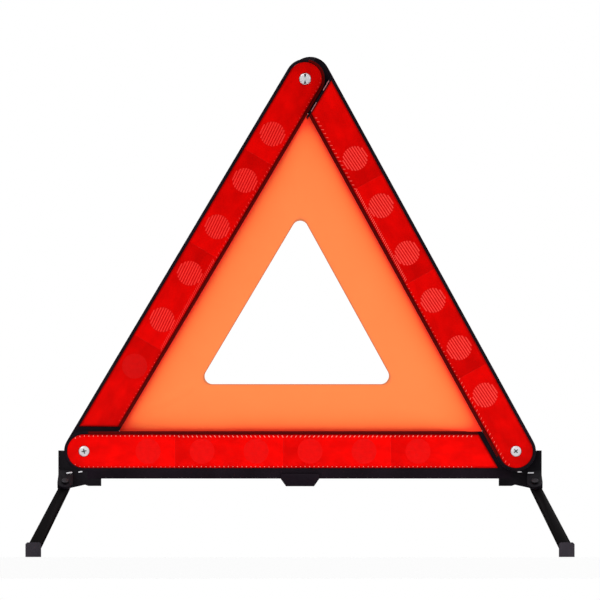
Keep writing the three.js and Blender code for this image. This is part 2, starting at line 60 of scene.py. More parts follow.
# Sizes that the CAD model also has.
PIVOT_HEIGHT = 98 * MM
LEFT_LENGTH = 401 * MM
LEFT_TILT = math.radians(30.7)
RIGHT_TILT = math.radians(28.8)
ARM_HALF_WIDTH = 18.5 * MM
ARM_FACE = 3.5 * MM
LENS_HALF_WIDTH = 15.7 * MM
LENS_FACE = 3.2 * MM
LENS_BACK = 1.2 * MM
LENS_CUT_AT = 374.5 * MM
LAYER_STEP = 7.8 * MM
CLOTH_LEVEL = -1.6 * MM
CLOTH_WIDTH = {"left": 41 * MM, "base": 43.6 * MM, "right": 50 * MM}
WINDOW_RADIUS = 7.5 * MM
SCREW_HEAD_RADIUS = 4.9 * MM
STUD_HEAD_RADIUS = 5.4 * MM
SHANK_RADIUS = 2.2 * MM  # of the screws and the stud
GAP = 0.3 * MM  # the running clearance round the arms and the heads
LIP_START = 2.7 * MM  # of the base arm's lower lip, from the pivot towards the middle
LIP_BOTTOM = 25.7 * MM  # of the same lip, below the pivot
THIRTY = math.radians(30)

# ---------------------------------------------------------------- the arms' frames
joints = {joint["name"]: joint for joint in frame["joints"]}
X_AXIS = Vector((1, 0, 0))


def arm_matrix(pivot, front, angle, back_to_head=0.0):
    """The frame of an arm: x from its head to its tail, y towards the triangle's inside, z to the front."""
    up = front.cross(X_AXIS)
    along = X_AXIS * math.cos(angle) + up * math.sin(angle)
    across = front.cross(along)
    matrix = Matrix((along, across, front)).transposed().to_4x4()
    matrix.translation = pivot - along * back_to_head
    return matrix


left_hinge, right_hinge = joints["left_arm_fold"], joints["right_arm_fold"]
left_pivot, right_pivot = Vector(left_hinge["pos_m"]), Vector(right_hinge["pos_m"])
left_front = -Vector(left_hinge["axis"]).normalized()
right_front = Vector(right_hinge["axis"]).normalized()
LEFT_ANGLE = math.pi / 2 - LEFT_TILT
RIGHT_ANGLE = math.pi / 2 + RIGHT_TILT
base_origin = Vector((left_pivot.x, 0, left_pivot.z))
ARM_FRAME = {
    "base": arm_matrix(base_origin, Vector((0, -1, 0)), 0),
    "left": arm_matrix(left_pivot, left_front, LEFT_ANGLE + math.pi, LEFT_LENGTH),
    "right": arm_matrix(right_pivot, right_front, RIGHT_ANGLE),
}
ARM_BODY = {"base": "base", "left": "left_arm", "right": "right_arm"}
LEAN = math.asin(abs(left_front.z))

# ---------------------------------------------------------------- materials


class Shader:
    """A material and the few node calls that this script needs."""

    def __init__(self, name, color, roughness, metallic=0.0, specular=0.5):
        self.material = bpy.data.materials.new(name)
        self.material.use_nodes = True
        self.nodes = self.material.node_tree.nodes
        self.links = self.material.node_tree.links
        self.shader = self.nodes["Principled BSDF"]
        self.set("Base Color", (*color, 1))
        self.set("Roughness", roughness)
        self.set("Metallic", metallic)
        self.set("Specular IOR Level", specular)
        self.material.diffuse_color = (*color, 1)

    def set(self, socket, value):
        self.shader.inputs[socket].default_value = value

    def node(self, kind, **settings):
        node = self.nodes.new(kind)
        for name, value in settings.items():
            setattr(node, name, value)
        return node

    def join(self, source, target):
        self.links.new(source, target)

    def place(self):
        """The shaded point, in the object's own axes."""
        return self.node("ShaderNodeTexCoord").outputs["Object"]

    def noise(self, scale, detail=3.0, stretch=(1, 1, 1)):
        mapping = self.node("ShaderNodeMapping")
        mapping.inputs["Scale"].default_value = stretch
        self.join(self.place(), mapping.inputs["Vector"])
        node = self.node("ShaderNodeTexNoise")
        node.inputs["Scale"].default_value = scale
        node.inputs["Detail"].default_value = detail
        self.join(mapping.outputs[0], node.inputs["Vector"])
        return node.outputs["Fac"]

    def ramp(self, factor, stops):
        node = self.node("ShaderNodeValToRGB")
        elements = node.color_ramp.elements
        while len(elements) < len(stops):
            elements.new(0.5)
        for element, (position, color) in zip(elements, stops):
            element.position = position
            element.color = (*color, 1)
        self.join(factor, node.inputs["Fac"])
        return node.outputs["Color"]

    def math(self, operation, *values):
        node = self.node("ShaderNodeMath", operation=operation)
        for socket, value in zip(node.inputs, values):
            if isinstance(value, (int, float)):
                socket.default_value = value
            else:
                self.join(value, socket)
        return node.outputs[0]

    def mix(self, factor, a, b):
        node = self.node("ShaderNodeMix", data_type="RGBA")
        # Sockets 6 and 7 are the two colours, and output 2 is the mixed one.
        for socket, value in ((node.inputs[0], factor), (node.inputs[6], a), (node.inputs[7], b)):
            if isinstance(value, (int, float)):
                socket.default_value = value
            elif isinstance(value, tuple):
                socket.default_value = (*value, 1)
            else:
                self.join(value, socket)
        return node.outputs[2]

    def bump(self, height, strength, distance):
        node = self.node("ShaderNodeBump")
        node.inputs["Strength"].default_value = strength
        node.inputs["Distance"].default_value = distance
        self.join(height, node.inputs["Height"])
        self.join(node.outputs["Normal"], self.shader.inputs["Normal"])

    def glow(self, color, strength):
        """Joins a colour to the surface, with a little of it as light of its own."""
        self.join(color, self.shader.inputs["Base Color"])
        self.join(color, self.shader.inputs["Emission Color"])
        self.set("Emission Strength", strength)

    def uneven_gloss(self, grain, detail, reach, lowest):
        """Roughness that varies by reach above its lowest value."""
        rough = self.math("MULTIPLY_ADD", self.noise(grain, detail), reach, lowest)
        self.join(rough, self.shader.inputs["Roughness"])

    def attribute(self, name):
        return self.node("ShaderNodeAttribute", attribute_name=name).outputs["Fac"]


def moulded(name, dark, light, roughness, grain=900, specular=0.16):
    """Moulded plastic or rubber: a fine grain, a slow change of shade and an uneven gloss."""
    made = Shader(name, dark, roughness, specular=specular)
    cloud = made.noise(28, 4)
    made.join(made.ramp(cloud, [(0.3, dark), (0.75, light)]), made.shader.inputs["Base Color"])
    made.uneven_gloss(60, 3, 0.25, roughness - 0.12)
    made.bump(made.noise(grain, 2), 0.25, 0.12 * MM)
    return made.material


def plated(name, color, roughness, metallic):
    """Plated steel with faint turning marks."""
    made = Shader(name, color, roughness, metallic=metallic)
    made.uneven_gloss(900, 2, 0.12, roughness - 0.05)
    made.bump(made.noise(1500, 2), 0.08, 0.05 * MM)
    return made.material


MODULE_LENGTH = 100 * MM  # of one reflector module, seam to seam
FIRST_SEAM = 84.3 * MM


def reflector(name, deep, bright, edge):
    """Red prismatic reflector: mottled, with painted light along each module, and painted shade where its edge
    turns down.
    """
    made = Shader(name, bright, 0.16, specular=0.12)
    along = made.node("ShaderNodeSeparateXYZ")
    made.join(made.place(), along.inputs[0])
    # Painted light: the red grows lighter along each module, from one seam to the next.
    shifted = made.math("ADD", along.outputs[0], MODULE_LENGTH - FIRST_SEAM)
    share = made.math("FRACT", made.math("DIVIDE", shifted, MODULE_LENGTH))
    cloud = made.noise(55, 5, (1, 1.6, 1))
    mottle_and_module_light = made.math("ADD", made.math("MULTIPLY", cloud, 0.75), made.math("MULTIPLY", share, 0.28))
    color = made.ramp(mottle_and_module_light, [(0.3, deep), (0.72, bright)])
    # Painted shade: the dark edge colour is laid where the lens's edge turns down.
    color = made.mix(made.attribute("rim"), edge, color)
    made.join(color, made.shader.inputs["Base Color"])
    # The prisms behind the smooth face: two crossed sets of fine grooves.
    turned = made.node("ShaderNodeMapping")
    turned.inputs["Rotation"].default_value = (0, 0, math.radians(45))
    made.join(made.place(), turned.inputs["Vector"])
    grooves = []
    for direction in ("X", "Y"):
        wave = made.node("ShaderNodeTexWave", bands_direction=direction)
        wave.inputs["Scale"].default_value = 180
        made.join(turned.outputs[0], wave.inputs["Vector"])
        grooves.append(wave.outputs["Fac"])
    made.bump(made.math("MULTIPLY", *grooves), 0.15, 0.1 * MM)
    return made.material


def bright_red(name, color, glow=0.0):
    """Plain red plastic, with a fine unevenness."""
    made = Shader(name, color, 0.3, specular=0.12)
    tint = made.mix(made.noise(240, 2), tuple(0.8 * c for c in color), color)
    made.glow(tint, glow)
    return made.material


def woven_cloth(name):
    """Fluorescent orange plain weave, with painted shade and painted red reflection that make it redder towards
    the reflectors and in the triangle's corners.
    """
    made = Shader(name, (1, 0.25, 0.06), 0.9, specular=0.05)
    # Painted shade and painted red reflection: the cloth darkens to red near the arms, most in the corners.
    cloud = made.math("MULTIPLY", made.math("SUBTRACT", made.noise(22, 4), 0.5), 0.16)
    shade = made.math("ADD", made.attribute("out_of_arm_shade"), cloud)
    color = made.ramp(
        shade,
        [
            (0.08, (1.0, 0.012, 0.006)),
            (0.28, (1.0, 0.04, 0.017)),
            (0.45, (1.0, 0.115, 0.032)),
            (0.6, (1.0, 0.158, 0.041)),
            (0.8, (1.0, 0.19, 0.05)),
            (1.0, (1.0, 0.215, 0.06)),
        ],
    )
    threads = []
    for direction in ("X", "Z"):
        wave = made.node("ShaderNodeTexWave", bands_direction=direction)
        wave.inputs["Scale"].default_value = 420
        wave.inputs["Distortion"].default_value = 0.6
        made.join(made.place(), wave.inputs["Vector"])
        threads.append(wave.outputs["Fac"])
    weave = made.math("MAXIMUM", *threads)
    color = made.mix(made.math("MULTIPLY", weave, 0.06), color, (1.0, 0.34, 0.12))
    cut_edge = made.math("MULTIPLY", made.attribute("edge"), 0.9)
    color = made.mix(cut_edge, color, (0.42, 0.14, 0.06))
    made.glow(color, 0.2)
    made.bump(weave, 0.35, 0.15 * MM)
    return made.material


BLACK = moulded("black_plastic", (0.006, 0.0025, 0.006), (0.013, 0.006, 0.013), 0.48)
BRACKET_BLACK = moulded("bracket_plastic", (0.0035, 0.0025, 0.0045), (0.009, 0.006, 0.01), 0.5)
LEG_BLACK = moulded("leg_plastic", (0.002, 0.0015, 0.0017), (0.005, 0.004, 0.0045), 0.45, specular=0.05)
PAD_RUBBER = moulded("pad_rubber", (0.024, 0.02, 0.027), (0.05, 0.043, 0.054), 0.8, grain=1600)
CHROME = plated("bright_steel", (0.97, 0.96, 1.0), 0.22, 0.35)
DARK_STEEL_AND_RECESS_SHADE = plated("dark_steel_and_recess_shade", (0.05, 0.046, 0.052), 0.4, 0.9)
CLOTH = woven_cloth("orange_cloth")
MAROON = bright_red("lens_flange", (0.11, 0.0006, 0.0003))


def side_reflector_shaded(name):
    return reflector(name, (0.55, 0.0008, 0.0003), (0.82, 0.0012, 0.0005), (0.15, 0.0004, 0.0003))


# Painted light and shade: the base arm's reflector and discs are a lighter red than the side arms', as lit and
# shaded copies of one red.
LENS = {
    "base": reflector("base_reflector", (0.7, 0.0008, 0.0003), (1.0, 0.0012, 0.0004), (0.2, 0.0004, 0.0003)),
    "left": side_reflector_shaded("left_reflector"),
    "right": side_reflector_shaded("right_reflector"),
}
DISC = {
    "base": bright_red("base_disc", (0.93, 0.001, 0.0005)),
    "left": bright_red("left_disc", (0.72, 0.002, 0.0015)),
    "right": bright_red("right_disc", (0.74, 0.003, 0.002)),
}
# Painted highlights: the edge prisms are drawn in a paler red than their lens, the base's and the right arm's
# with a little glow of their own.
DASH_HIGHLIGHT = {
    "base": bright_red("base_prism_highlight", (1.0, 0.3, 0.25), 0.1),
    "left": bright_red("left_prism_highlight", (1.0, 0.03, 0.025)),
    "right": bright_red("right_prism_highlight", (1.0, 0.09, 0.07), 0.05),
}
# Painted highlights: the stripes of the side arms' discs are drawn in a paler red, with a glow of their own.
STRIPE_HIGHLIGHT = {  # the base arm's discs have plain stripes
    "left": bright_red("left_stripe_highlight", (1.0, 0.03, 0.024), 0.05),
    "right": bright_red("right_stripe_highlight", (1.0, 0.05, 0.04), 0.1),
}
LENS_FACES, DISC_FACES, HIGHLIGHT_DASH_FACES, HIGHLIGHT_STRIPE_FACES = range(4)  # the order of a reflector's materials
# Painted highlight: a pale pink for the tongue's two ribs.
RIB_HIGHLIGHT = moulded("rib_highlight", (0.35, 0.12, 0.14), (0.5, 0.2, 0.22), 0.3)

# ---------------------------------------------------------------- mesh helpers
CREASE_ANGLE = math.radians(40)  # edges sharper than this stay sharp on new pieces
# CAD meshes are welded at this distance, flat faces are merged, and edges sharper than this are rounded.
WELD_DISTANCE = 2e-6
FLAT_ANGLE = math.radians(0.6)
ROUNDED_ANGLE = math.radians(32)


def ease(value):
    """From 0 to 1 with a soft start and end."""
    value = min(1.0, max(0.0, value))
    return value * value * (3 - 2 * value)


def piece_from(name, vertices, faces, materials, indices=None, smooth=False):
    """A new object in the scene, with a material index for each face."""
    mesh = bpy.data.meshes.new(name)
    mesh.from_pydata(vertices, [], faces)
    for material in materials:
        mesh.materials.append(material)
    if indices is not None:
        mesh.polygons.foreach_set("material_index", indices)
    mesh.polygons.foreach_set("use_smooth", [smooth] * len(mesh.polygons))
    mesh.update()
    if smooth:
        mesh.set_sharp_from_angle(angle=CREASE_ANGLE)
    piece = bpy.data.objects.new(name, mesh)
    bpy.context.scene.collection.objects.link(piece)
    return piece


def finish_piece(piece, body, slot, *nodes):
    """Puts a piece on its body, in place of any CAD nodes. Its slot is not used."""
    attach(piece, body)
    if nodes:
        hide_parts(*nodes)
    return piece


def add_attribute(piece, name, values):
    """A value at each vertex, for the piece's material."""
    attribute = piece.data.attributes.new(name, "FLOAT", "POINT")
    attribute.data.foreach_set("value", np.array(values, np.float32))


class Build:
    """Vertices and faces of one piece, with a material index for each face."""

    def __init__(self):
        self.vertices, self.faces, self.indices = [], [], []

    def add(self, points, faces, index=0):
        start = len(self.vertices)
        self.vertices.extend(points)
        self.faces.extend(tuple(start + i for i in face) for face in faces)
        self.indices.extend([index] * len(faces))

    def ridge(self, centre, angle, length, width, height, level, index):
        """A closed roof-shaped ridge, standing on z = level."""
        c, s = math.cos(angle), math.sin(angle)
        half, side = length / 2, width / 2
        top = max(half - side, half * 0.3)
        foot = [(-half, -side, 0), (half, -side, 0), (half, side, 0), (-half, side, 0)]
        points = [
            (centre[0] + x * c - y * s, centre[1] + x * s + y * c, level + z * height)
            for x, y, z in [*foot, (-top, 0, 1), (top, 0, 1)]
        ]
        self.add(points, [(0, 3, 2, 1), (0, 1, 5, 4), (1, 2, 5), (2, 3, 4, 5), (3, 0, 4)], index)

    def prism(self, outline, low, high, index=0):
        """A convex outline made solid between two levels."""
        count = len(outline)
        points = [(x, y, low) for x, y in outline] + [(x, y, high) for x, y in outline]
        sides = [(i, (i + 1) % count, count + (i + 1) % count, count + i) for i in range(count)]
        caps = [tuple(reversed(range(count))), tuple(range(count, 2 * count))]
        self.add(points, sides + caps, index)

    def turned(self, profile, sides=48):
        """A solid turned about z, from (radius, z) points that start and end on the axis, low to high."""
        rings = profile[1:-1]
        points = [(0, 0, profile[0][1])]
        for radius, z in rings:
            for i in range(sides):
                turn = 2 * math.pi * i / sides
                points.append((radius * math.cos(turn), radius * math.sin(turn), z))
        points.append((0, 0, profile[-1][1]))
        last, faces = len(points) - 1, []
        for i in range(sides):
            j = (i + 1) % sides
            faces.append((0, 1 + j, 1 + i))
            for ring in range(len(rings) - 1):
                a, b = 1 + ring * sides, 1 + (ring + 1) * sides
                faces.append((a + i, a + j, b + j, b + i))
            a = 1 + (len(rings) - 1) * sides
            faces.append((a + i, a + j, last))
        self.add(points, faces)

    def piece(self, name, materials, smooth=False):
        return piece_from(name, self.vertices, self.faces, materials, self.indices, smooth)


def soften(thing, width):
    """Rounds an object's sharp edges as it is drawn."""
    thing.data.polygons.foreach_set("use_smooth", [True] * len(thing.data.polygons))
    weld = thing.modifiers.new("weld", "WELD")
    weld.merge_threshold = WELD_DISTANCE
    flat = thing.modifiers.new("flat", "DECIMATE")
    flat.decimate_type = "DISSOLVE"
    flat.angle_limit = FLAT_ANGLE
    bevel = thing.modifiers.new("bevel", "BEVEL")
    bevel.width = width
    bevel.segments = 2
    bevel.limit_method = "ANGLE"
    bevel.angle_limit = ROUNDED_ANGLE
    bevel.harden_normals = True
    bevel.use_clamp_overlap = True
    return thing


def softened(node, width=0.3 * MM):
    """A CAD node with its edges rounded."""
    return soften(frame["nodes"][node], width)


def paint(node, material):
    """Gives a CAD node its material."""
    thing = frame["nodes"][node]
    if not thing.data.materials:
        thing.data.materials.append(material)
    for i in range(len(thing.material_slots)):
        thing.material_slots[i].material = material


# ---------------------------------------------------------------- the camera, the light and the floor
VIEW_WIDTH = 555.6 * MM  # of the picture, at the triangle
VIEW_MIDDLE = 238 * MM  # the height at the picture's centre
VIEW_DISTANCE = 3.0
# Name, place, size in metres and power in watts of each soft light.
LIGHTS = (
    ("key_light", (-1.7, -1.9, 2.7), 1.6, 30),
    ("fill_light", (2.4, -1.3, 1.5), 1.8, 12),
    ("back_light", (0.6, 2.6, 2.2), 1.8, 26),
)


def camera():
    """Level and square to the front, without perspective: each rear leg is exactly behind a front one."""
    camera_data = bpy.data.cameras.new("camera")
    thing = bpy.data.objects.new("camera", camera_data)
    bpy.context.scene.collection.objects.link(thing)
    thing.location = (0, -VIEW_DISTANCE, VIEW_MIDDLE)
    thing.rotation_euler = (math.pi / 2, 0, 0)
    camera_data.type = "ORTHO"
    camera_data.ortho_scale = VIEW_WIDTH
    bpy.context.scene.camera = thing
    bpy.context.scene.view_settings.view_transform = "Standard"


def lights():
    for name, place, size, power in LIGHTS:
        data = bpy.data.lights.new(name, "AREA")
        data.size, data.energy = size, power
        light = bpy.data.objects.new(name, data)
        bpy.context.scene.collection.objects.link(light)
        light.location = place
        aim = Vector((0, 0, VIEW_MIDDLE)) - Vector(place)
        light.rotation_euler = aim.to_track_quat("-Z", "Y").to_euler()


def surroundings():
    """A white studio, seen as plain white, whose light is dim near the horizon and strong overhead."""
    world = bpy.data.worlds.new("studio")
    bpy.context.scene.world = world
    world.use_nodes = True
    nodes, links = world.node_tree.nodes, world.node_tree.links
    background = nodes["Background"]
    place = nodes.new("ShaderNodeTexCoord")
    parts = nodes.new("ShaderNodeSeparateXYZ")
    links.new(place.outputs["Generated"], parts.inputs[0])
    height = nodes.new("ShaderNodeMapRange")
    for limit, value in (("From Min", 0.0), ("From Max", 0.9), ("To Min", 0.03), ("To Max", 0.8)):
        height.inputs[limit].default_value = value
    links.new(parts.outputs["Z"], height.inputs["Value"])
    path = nodes.new("ShaderNodeLightPath")
    # Sockets 2 and 3 are the two numbers that are mixed: the light, and what the camera sees.
    strength = nodes.new("ShaderNodeMix")
    strength.inputs[3].default_value = 1.0
    links.new(path.outputs["Is Camera Ray"], strength.inputs[0])
    links.new(height.outputs[0], strength.inputs[2])
    links.new(strength.outputs[0], background.inputs["Strength"])
    background.inputs["Color"].default_value = (1, 1, 1, 1)


def floor():
    """A plain white floor, just below the pads."""
    build = Build()
    side, near, far = 3.0, 1.5, 4.5
    build.prism([(-side, -near), (side, -near), (side, far), (-side, far)], -20 * MM, -0.2 * MM)
    white = Shader("floor_white", (0.92, 0.92, 0.92), 0.9, specular=0.0)
    tone = white.ramp(white.noise(1.5, 2), [(0.3, (0.91, 0.91, 0.91)), (0.7, (0.93, 0.93, 0.93))])
    white.glow(tone, 0.8)
    ground = build.piece("floor", [white.material])
    ground.visible_glossy = False


# ---------------------------------------------------------------- the reflectors
DISC_RADIUS = 11.6 * MM
FIRST_DISC = 59.3 * MM
DISC_PITCH = 50 * MM
DISC_COUNT = 6
STRIPE_COUNT = 10
STRIPE_TURN = math.radians(5)
# Pitch, length and slant in degrees of the edge prisms in each of the four modules.
DOTS = (4.17 * MM, 1.3 * MM, 90)
PRISM_ROWS = {
    "base": (DOTS, (4.17 * MM, 2.2 * MM, 125), (4.17 * MM, 2.2 * MM, 50), (4.17 * MM, 1.8 * MM, 60)),
    "left": (DOTS, (4.17 * MM, 2.2 * MM, 60), (2.1 * MM, 3.6 * MM, 55), DOTS),
    "right": ((4.17 * MM, 2.4 * MM, 125), DOTS, (2.1 * MM, 3.2 * MM, 125), (4.17 * MM, 2.6 * MM, 60)),
}
MODULE_COUNT = 4
ROUND_STEPS = 40  # round a lens's head
HOLE_SIDES = 40
SUNK = 0.04 * MM  # how far the raised prisms start below the lens's face
FLANGE_START = 4 * MM  # from the pivot, where a straight flange starts
FLANGE_TURN = math.radians(110)  # how far the left arm's flange runs round the head
FLANGE_STEPS = 23
HEAD_TOP = LENS_FACE + 0.25 * MM  # of the screws and the stud


def lens_outline(inset):
    """The lens's outline this far inside its edge: the oblique tail, then round the head."""
    half = LENS_HALF_WIDTH - inset
    end = LENS_CUT_AT - inset / math.cos(THIRTY)
    points = [(end + half * math.tan(THIRTY), -half), (end - half * math.tan(THIRTY), half)]
    for i in range(ROUND_STEPS + 1):
        turn = math.pi / 2 + math.pi * i / ROUND_STEPS
        points.append((half * math.cos(turn), half * math.sin(turn)))
    return points


def circle(radius, sides, centre=(0, 0)):
    """The corners of a regular polygon."""
    turns = [2 * math.pi * i / sides for i in range(sides)]
    return [(centre[0] + radius * math.cos(turn), centre[1] + radius * math.sin(turn)) for turn in turns]


def lens_body(build, hole_radius):
    """The slab of a lens, with a rounded edge and its screw's recess. Returns each vertex's rim value, which
    paints shade on the rounded edge.
    """
    edge = 0.35 * MM
    # Distance in from the edge, height, and rim value: 0 is the edge in full painted shade and 1 is the clear
    # face.
    loops = (
        (0.0, LENS_BACK, 0),
        (0.0, LENS_FACE - edge, 0),
        (0.12 * MM, LENS_FACE - 0.1 * MM, 0),
        (edge, LENS_FACE, 0.25),
        (1.0 * MM, LENS_FACE, 0.5),
        (1.8 * MM, LENS_FACE, 0.85),
        (2.4 * MM, LENS_FACE, 1),
    )
    outlines = [lens_outline(inset) for inset, _, _ in loops]
    count = len(outlines[0])
    points, rim_shades = [], []
    for outline, (_, level, rim) in zip(outlines, loops):
        points += [(x, y, level) for x, y in outline]
        # The painted shade on the face's edge fades out round the head.
        fading = 0.75 * (level == LENS_FACE)
        rim_shades += [rim + (1 - rim) * fading * ease(-x / (7 * MM)) for x, _ in outline]
    faces = []
    for ring in range(len(loops) - 1):
        a, b = ring * count, (ring + 1) * count
        for i in range(count):
            j = (i + 1) % count
            faces.append((a + i, a + j, b + j, b + i))
    flare = 0.25 * MM
    hole_rings = ((hole_radius, LENS_BACK), (hole_radius, LENS_FACE - flare), (hole_radius + flare, LENS_FACE))
    hole_start, sides = len(points), HOLE_SIDES
    for radius, level in hole_rings:
        points += [(x, y, level) for x, y in circle(radius, sides)]
        rim_shades += [1] * sides
    for ring in range(len(hole_rings) - 1):
        a, b = hole_start + ring * sides, hole_start + (ring + 1) * sides
        for i in range(sides):
            j = (i + 1) % sides
            faces.append((a + j, a + i, b + i, b + j))

    def cap(outer_start, inner_start, up):
        """The flat face between one loop of the outline and one of the hole."""
        outer = [Vector(points[outer_start + i]) for i in range(count)]
        inner = [Vector(points[inner_start + i]) for i in range(sides)]
        index = [outer_start + i for i in range(count)] + [inner_start + i for i in range(sides)]
        for a, b, c in tessellate_polygon([outer, inner]):
            pa, pb, pc = (Vector(points[index[k]]) for k in (a, b, c))
            normal = (pb - pa).cross(pc - pa).z
            if abs(normal) < 1e-14:  # a triangle without area
                continue
            face = (index[a], index[b], index[c])
            faces.append(face if (normal > 0) == up else tuple(reversed(face)))

    cap((len(loops) - 1) * count, hole_start + 2 * sides, True)
    cap(0, hole_start, False)
    build.add(points, faces, LENS_FACES)
    return rim_shades


def striped_disc(build, centre, faint):
    """A round field of the lens, filled with parallel raised stripes."""
    build.prism(circle(DISC_RADIUS, 48, centre), LENS_FACE - SUNK, LENS_FACE + 0.03 * MM, DISC_FACES)
    # Stripes that show take the painted-highlight material; faint ones keep the disc's red.
    height, color = (0.05 * MM, DISC_FACES) if faint else (0.14 * MM, HIGHLIGHT_STRIPE_FACES)
    pitch = 2 * DISC_RADIUS / STRIPE_COUNT
    for stripe in range(STRIPE_COUNT):
        aside = (stripe - (STRIPE_COUNT - 1) / 2) * pitch
        length = 2 * 0.97 * math.sqrt(DISC_RADIUS**2 - aside**2)
        place = (centre[0] - aside * math.sin(STRIPE_TURN), centre[1] + aside * math.cos(STRIPE_TURN))
        build.ridge(place, STRIPE_TURN, length, 0.52 * pitch, height, LENS_FACE + 0.02 * MM, color)


def prism_row(build, arm, side, length_scale):
    """The row of small prisms along one edge: dots, or slanted dashes close together or far apart."""
    row_end = LENS_CUT_AT - LENS_HALF_WIDTH * math.tan(THIRTY) - 4 * MM
    along = -8 * MM
    while along < row_end:
        module = max(0, min(MODULE_COUNT - 1, int((along - FIRST_SEAM) / MODULE_LENGTH + 1)))
        pitch, length, lean = PRISM_ROWS[arm][module]
        length *= length_scale
        aside = side * (LENS_HALF_WIDTH - 0.9 * MM - length / 2)
        if along < 0:  # round the head the row follows the lens's edge
            aside *= math.cos(math.asin(along / LENS_HALF_WIDTH))
        place = (along, aside)
        # The prisms take the painted-highlight material.
        build.ridge(place, math.radians(lean), length, 0.9 * MM, 0.12 * MM, LENS_FACE - SUNK, HIGHLIGHT_DASH_FACES)
        along += pitch


def seam_line(build, along):
    """The joint between two modules, as a thin raised line."""
    build.ridge((along, 0), math.pi / 2, 25 * MM, 0.7 * MM, 0.06 * MM, LENS_FACE - SUNK, DISC_FACES)


def reflector_piece(arm, hole_radius):
    build = Build()
    rim_shades = lens_body(build, hole_radius)
    for number in range(DISC_COUNT):
        # The discs of the base arm and the lowest one of the left arm hardly show.
        faint = arm == "base" or (arm == "left" and number == DISC_COUNT - 1)
        striped_disc(build, (FIRST_DISC + number * DISC_PITCH, 0), faint)
    prism_row(build, arm, 1, 1.0)
    if arm == "base":
        prism_row(build, arm, -1, 0.45)
    for number in range(MODULE_COUNT - 1):
        seam_line(build, FIRST_SEAM + number * MODULE_LENGTH)
    materials = [LENS[arm], DISC[arm], DASH_HIGHLIGHT[arm]]
    if arm in STRIPE_HIGHLIGHT:
        materials.append(STRIPE_HIGHLIGHT[arm])
    piece = build.piece(f"{arm}_reflector", materials)
    values = np.ones(len(piece.data.vertices), np.float32)
    values[: len(rim_shades)] = rim_shades
    add_attribute(piece, "rim", values)
    piece.matrix_world = ARM_FRAME[arm]
    finish_piece(piece, ARM_BODY[arm], "lens", f"{arm}_arm_lens")


def lens_flange(arm):
    """The dark red edge of the lens moulding, which laps over the inner rim of its tray."""
    low, high = LENS_HALF_WIDTH + GAP, ARM_HALF_WIDTH - 0.25 * MM
    slope = math.tan(THIRTY)
    inner, outer = [(LENS_CUT_AT - low * slope, low)], [(LENS_CUT_AT - high * slope, high)]
    if arm == "left":  # here it also runs round the head, beside the right arm's tongue
        for i in range(FLANGE_STEPS + 1):
            turn = math.pi / 2 + FLANGE_TURN * i / FLANGE_STEPS
            inner.append((low * math.cos(turn), low * math.sin(turn)))
            outer.append((high * math.cos(turn), high * math.sin(turn)))
    else:
        inner.append((FLANGE_START, low))
        outer.append((FLANGE_START, high))
    build = Build()
    for i in range(len(inner) - 1):
        outline = [inner[i], outer[i], outer[i + 1], inner[i + 1]]
        build.prism(outline, ARM_FACE - 0.1 * MM, ARM_FACE + 0.16 * MM)
    piece = build.piece(f"{arm}_lens_flange", [MAROON])
    piece.matrix_world = ARM_FRAME[arm]
    finish_piece(piece, ARM_BODY[arm], "lens")


# ---------------------------------------------------------------- the cloth
# Lines and points of the cloth are (x, z) in the plane of the triangle.


def flat_line(origin, angle, offset):
    """A line at this angle, moved sideways from its origin, as a point and a direction."""
    direction = Vector((math.cos(angle), math.sin(angle)))
    return origin + Vector((-direction.y, direction.x)) * offset, direction


def crossing(a, b):
    (pa, da), (pb, db) = a, b
    between = pb - pa
    reach = (between.x * db.y - between.y * db.x) / (da.x * db.y - da.y * db.x)
    return pa + da * reach


def triangle_lines(offsets):
    """The three sides of a triangle, each at its own distance inside its arm's middle line."""
    low_left = Vector((left_pivot.x, left_pivot.z))
    low_right = Vector((right_pivot.x, right_pivot.z))
    return {
        "base": flat_line(low_left, 0, offsets["base"]),
        "right": flat_line(low_right, RIGHT_ANGLE, offsets["right"]),
        "left": flat_line(low_left, LEFT_ANGLE + math.pi, offsets["left"]),
    }


outer_lines = triangle_lines({arm: ARM_HALF_WIDTH + GAP for arm in ARMS})
window_lines = triangle_lines({arm: ARM_HALF_WIDTH + CLOTH_WIDTH[arm] for arm in ARMS})
WINDOW_SLOPE = 0.036  # how the cloth's level changes from left to right, between the layers of the side arms
NEIGHBOURS = {"base": ("left", "right"), "right": ("base", "left"), "left": ("right", "base")}
CLOTH_THICKNESS = 0.45 * MM
LAP_SHARE = 0.0005  # how far each band laps over the next one, as a share of its length
TUCK = 4.2 * MM  # how far the cloth goes into an arm's groove
TUCK_ROWS = 2  # of the mesh, in the groove
HEM_WIDTH = 5 * MM
HEM_THICKNESS = 0.5 * MM
# Shares of a band's length, from either end: where it reaches its own arm's level, and where its tuck starts.
LEVEL_REACHED = 0.2
TUCK_START, TUCK_RISE = 0.22, 0.05


def own_depth(arm, height):
    """How far to the front an arm's groove is at this height."""
    side = {"base": 0, "left": -1, "right": 1}[arm]
    return CLOTH_LEVEL + side * (LAYER_STEP - math.tan(LEAN) * (height - PIVOT_HEIGHT))


def window_edge(start, end, share):
    """A point on the window's edge, from the middle of one round corner to the middle of the next."""
    direction = (end - start).normalized()
    inward = Vector((-direction.y, direction.x))
    first = WINDOW_RADIUS * math.sqrt(3)
    straight = (end - start).length - 2 * first
    arc = WINDOW_RADIUS * math.pi / 3
    distance = share * (straight + 2 * arc)
    if arc <= distance < arc + straight:
        return start + direction * (first + distance - arc)
    if distance < arc:
        turn, forward, sign = (arc - distance) / WINDOW_RADIUS, first, -1
    else:
        turn, forward, sign = (distance - arc - straight) / WINDOW_RADIUS, first + straight, 1
    along = forward + sign * WINDOW_RADIUS * math.sin(turn)
    return start + direction * along + inward * WINDOW_RADIUS * (1 - math.cos(turn))


